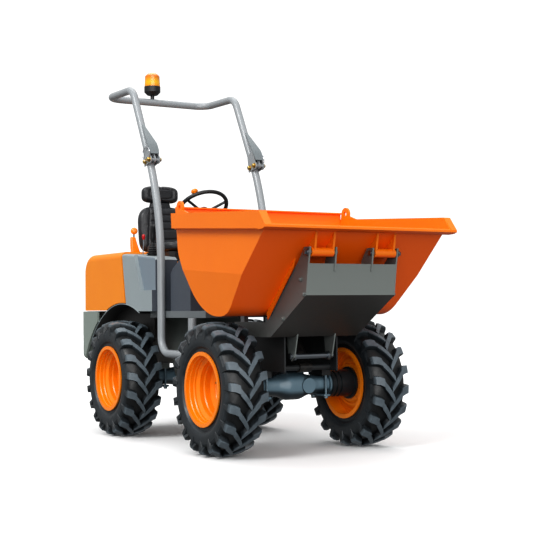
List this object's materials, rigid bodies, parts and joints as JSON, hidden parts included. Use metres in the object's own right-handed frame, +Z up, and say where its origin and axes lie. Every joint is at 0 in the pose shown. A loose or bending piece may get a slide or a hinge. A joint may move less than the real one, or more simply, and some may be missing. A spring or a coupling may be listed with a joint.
{
  "type": "articulated site dumper",
  "caption": "Articulated site dumper with a forward-tipping skip, open driver's seat, folding roll bar with beacon and large lugged tyres.",
  "frame": {"origin": "on the ground below the middle of the machine's overall box, machine straight and parked", "axes": "+Z up, -Y the way it drives forward, -X its right-hand side"},
  "size_m": [1.24, 2.954, 2.534],
  "materials": {
    "tyre": "moulded rubber",
    "wheel_orange": "gloss paint",
    "axle_paint": "gloss paint",
    "chassis_paint": "semi-gloss paint",
    "skip_orange": "gloss paint",
    "zinc_pin": "zinc plated",
    "ram_black": "gloss paint",
    "chromed_rod": "hard chrome",
    "engine_iron": "painted casting",
    "floor_grey": "semi-gloss paint",
    "panel_grey": "satin paint",
    "ballast_grey": "satin paint on casting",
    "arch_black": "satin paint",
    "hood_yellow": "gloss paint",
    "seat_vinyl": "grained vinyl",
    "cowl_grey": "satin paint",
    "frame_grey": "satin paint",
    "black_plastic": "moulded",
    "amber_lens": "clear amber"
  },
  "bodies": {
    "rear_unit": {"rear_chassis": "chassis_paint", "rear_axle": "axle_paint", "engine": "engine_iron", "floor_plate": "floor_grey", "tow_hitch": "chassis_paint", "console_left": "panel_grey", "console_right": "panel_grey", "wheel_arches": "arch_black", "rear_ballast": "ballast_grey", "cowl": "cowl_grey", "steering_column": "black_plastic", "rops_legs": "frame_grey", "articulation_pin": "zinc_pin", "control_lever": "black_plastic"},
    "front_unit": {"front_chassis": "chassis_paint", "skip_cradle": "chassis_paint", "cradle_shaft": "zinc_pin", "front_axle": "axle_paint", "skip_hinge_pins": "zinc_pin", "skip_rests": "frame_grey"},
    "skip_body": {"skip": "skip_orange", "skip_brackets": "skip_orange"},
    "ram_barrel_body": {"ram_barrel": "ram_black"},
    "ram_stage_one_body": {"ram_stage_one": "chromed_rod"},
    "ram_stage_two_body": {"ram_stage_two": "chromed_rod"},
    "ram_rod_body": {"ram_rod": "chromed_rod"},
    "steering_barrel_body": {"steering_ram_barrel": "ram_black"},
    "steering_rod_body": {"steering_ram_rod": "chromed_rod"},
    "wheel_front_right": {"tyre_front_right": "tyre", "rim_front_right": "wheel_orange"},
    "wheel_front_left": {"tyre_front_left": "tyre", "rim_front_left": "wheel_orange"},
    "wheel_rear_right": {"tyre_rear_right": "tyre", "rim_rear_right": "wheel_orange"},
    "wheel_rear_left": {"tyre_rear_left": "tyre", "rim_rear_left": "wheel_orange"},
    "hood_body": {"hood": "hood_yellow", "seat_base": "black_plastic", "seat_cushion": "seat_vinyl", "seat_backrest": "seat_vinyl", "headrest": "seat_vinyl"},
    "hoop_body": {"rops_hoop": "frame_grey", "beacon_base": "black_plastic", "beacon_lens": "amber_lens"},
    "steering_wheel_body": {"steering_wheel": "black_plastic"}
  },
  "joints": [
    {"name": "articulation", "type": "hinge", "parent": "rear_unit", "child": "front_unit", "pos_m": [0, -0.02, 0.485], "axis": [0, 0, 1], "range_deg": [-30, 30]},
    {"name": "skip_tip", "type": "hinge", "parent": "front_unit", "child": "skip_body", "pos_m": [0, -1.355, 1.128], "axis": [1, 0, 0], "range_deg": [0, 70]},
    {"name": "ram_swing", "type": "hinge", "parent": "front_unit", "child": "ram_barrel_body", "pos_m": [0, -0.845, 0.49], "axis": [1, 0, 0], "range_deg": [-0.5, 35.5]},
    {"name": "ram_slide_one", "type": "slide", "parent": "ram_barrel_body", "child": "ram_stage_one_body", "axis": [0, 0.617, 0.787], "range_m": [-0.001, 0.2824]},
    {"name": "ram_slide_two", "type": "slide", "parent": "ram_stage_one_body", "child": "ram_stage_two_body", "axis": [0, 0.617, 0.787], "range_m": [-0.001, 0.2824]},
    {"name": "ram_slide_rod", "type": "slide", "parent": "ram_stage_two_body", "child": "ram_rod_body", "axis": [0, 0.617, 0.787], "range_m": [-0.001, 0.2824]},
    {"name": "steer_ram_swing", "type": "hinge", "parent": "rear_unit", "child": "steering_barrel_body", "pos_m": [-0.12, 0.31, 0.52], "axis": [0, 0, 1], "range_deg": [-12, 12]},
    {"name": "steer_ram_slide", "type": "slide", "parent": "steering_barrel_body", "child": "steering_rod_body", "axis": [0, -1, 0], "range_m": [-0.063, 0.063]},
    {"name": "wheel_spin_front_right", "type": "hinge", "parent": "front_unit", "child": "wheel_front_right", "pos_m": [-0.475, -0.695, 0.38], "axis": [1, 0, 0], "continuous": true},
    {"name": "wheel_spin_front_left", "type": "hinge", "parent": "front_unit", "child": "wheel_front_left", "pos_m": [0.475, -0.695, 0.38], "axis": [1, 0, 0], "continuous": true},
    {"name": "wheel_spin_rear_right", "type": "hinge", "parent": "rear_unit", "child": "wheel_rear_right", "pos_m": [-0.475, 0.655, 0.38], "axis": [1, 0, 0], "continuous": true},
    {"name": "wheel_spin_rear_left", "type": "hinge", "parent": "rear_unit", "child": "wheel_rear_left", "pos_m": [0.475, 0.655, 0.38], "axis": [1, 0, 0], "continuous": true},
    {"name": "hood_open", "type": "hinge", "parent": "rear_unit", "child": "hood_body", "pos_m": [0, 1.447, 0.828], "axis": [-1, 0, 0], "range_deg": [0, 45]},
    {"name": "hoop_fold", "type": "hinge", "parent": "rear_unit", "child": "hoop_body", "pos_m": [0, 0.337, 1.802], "axis": [-1, 0, 0], "range_deg": [-140, 0]},
    {"name": "steering_wheel_spin", "type": "hinge", "parent": "rear_unit", "child": "steering_wheel_body", "pos_m": [0, 0.42, 1.5], "axis": [0, 0.6157, 0.788], "continuous": true}
  ],
  "couplings": [
    {"joint": "ram_swing", "follows": "skip_tip", "ratio": 0.5},
    {"joint": "ram_slide_one", "follows": "skip_tip", "m_per_rad": 0.23033},
    {"joint": "ram_slide_two", "follows": "skip_tip", "m_per_rad": 0.23033},
    {"joint": "ram_slide_rod", "follows": "skip_tip", "m_per_rad": 0.23033},
    {"joint": "steer_ram_swing", "follows": "articulation", "ratio": 0.379},
    {"joint": "steer_ram_slide", "follows": "articulation", "m_per_rad": 0.1184}
  ]
}
